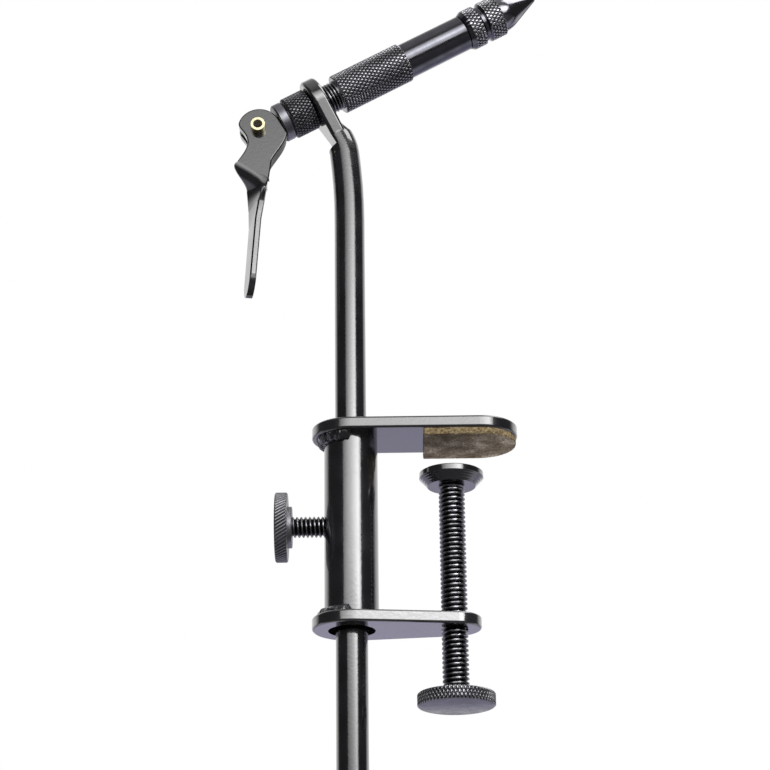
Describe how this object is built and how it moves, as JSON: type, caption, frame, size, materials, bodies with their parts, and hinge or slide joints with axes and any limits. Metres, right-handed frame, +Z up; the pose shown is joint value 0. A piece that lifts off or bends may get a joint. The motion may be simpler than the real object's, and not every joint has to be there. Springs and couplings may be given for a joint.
{
  "type": "fly tying vise",
  "caption": "Table-clamp fly tying vise with a bent sliding stem, an inclined collet head closed by a cam lever, and knurled adjusting rings and screws.",
  "frame": {"origin": "underside of the clamp's pad, on the clamp screw's axis", "axes": "+Z up along the stem, +X from the stem towards the hook jaws, +Y to the far side"},
  "size_m": [0.0982, 0.0236, 0.2757],
  "materials": {
    "black_paint": "gloss",
    "black_weld": "rough gloss",
    "black_stem": "gloss",
    "black_oxide": "oiled black oxide",
    "black_head": "polished black oxide",
    "black_lever": "satin",
    "fibre_pad": "matt, tan cut edge",
    "brass": "bright",
    "spring_steel": "plain"
  },
  "bodies": {
    "clamp": {"clamp_sleeve": "black_paint", "upper_jaw_plate": "black_paint", "lower_jaw_plate": "black_paint", "upper_weld_bead": "black_weld", "lower_weld_bead": "black_weld", "jaw_pad": "fibre_pad"},
    "stem": {"stem": "black_stem"},
    "lock_screw": {"lock_screw": "black_oxide", "lock_knob": "black_oxide"},
    "pressure_disc": {"pressure_disc": "black_paint"},
    "clamp_screw": {"clamp_screw": "black_oxide", "clamp_thumbwheel": "black_oxide"},
    "head": {"barrel": "black_head", "thrust_ring": "black_head", "return_spring": "spring_steel"},
    "rear_lock_nut": {"rear_lock_nut": "black_head"},
    "front_collar": {"front_collar": "black_head"},
    "collet": {"collet": "black_head", "lever_pin": "brass"},
    "cam_lever": {"cam_lever": "black_lever"}
  },
  "joints": [
    {"name": "stem_height", "type": "slide", "parent": "clamp", "child": "stem", "axis": [0, 0, 1], "range_m": [-0.07, 0.075]},
    {"name": "lock_turn", "type": "hinge", "parent": "clamp", "child": "lock_screw", "pos_m": [-0.0479, 0, -0.0251], "axis": [1, 0, 0], "range_deg": [-720, 0]},
    {"name": "disc_travel", "type": "slide", "parent": "clamp", "child": "pressure_disc", "axis": [0, 0, 1], "range_m": [-0.038, 0.008]},
    {"name": "clamp_turn", "type": "hinge", "parent": "pressure_disc", "child": "clamp_screw", "pos_m": [0, 0, -0.045], "axis": [0, 0, 1], "range_deg": [-9720, 2070]},
    {"name": "head_turn", "type": "hinge", "parent": "stem", "child": "head", "pos_m": [-0.04025, 0, 0.118], "axis": [0.8771, 0, 0.4802], "range_deg": [-180, 180]},
    {"name": "nut_turn", "type": "hinge", "parent": "head", "child": "rear_lock_nut", "pos_m": [-0.04604, 0, 0.11483], "axis": [0.8771, 0, 0.4802], "range_deg": [-90, 0]},
    {"name": "collar_turn", "type": "hinge", "parent": "head", "child": "front_collar", "pos_m": [0.01334, 0, 0.14734], "axis": [0.8771, 0, 0.4802], "range_deg": [0, 360]},
    {"name": "collet_draw", "type": "slide", "parent": "head", "child": "collet", "axis": [0.8771, 0, 0.4802], "range_m": [0, 0.000479]},
    {"name": "lever_swing", "type": "hinge", "parent": "collet", "child": "cam_lever", "pos_m": [-0.0592, 0, 0.10763], "axis": [0, 1, 0], "range_deg": [0, 110]}
  ],
  "couplings": [
    {"joint": "clamp_turn", "follows": "disc_travel", "rad_per_m": 4452.7},
    {"joint": "lever_swing", "follows": "collet_draw", "rad_per_m": 4000}
  ]
}
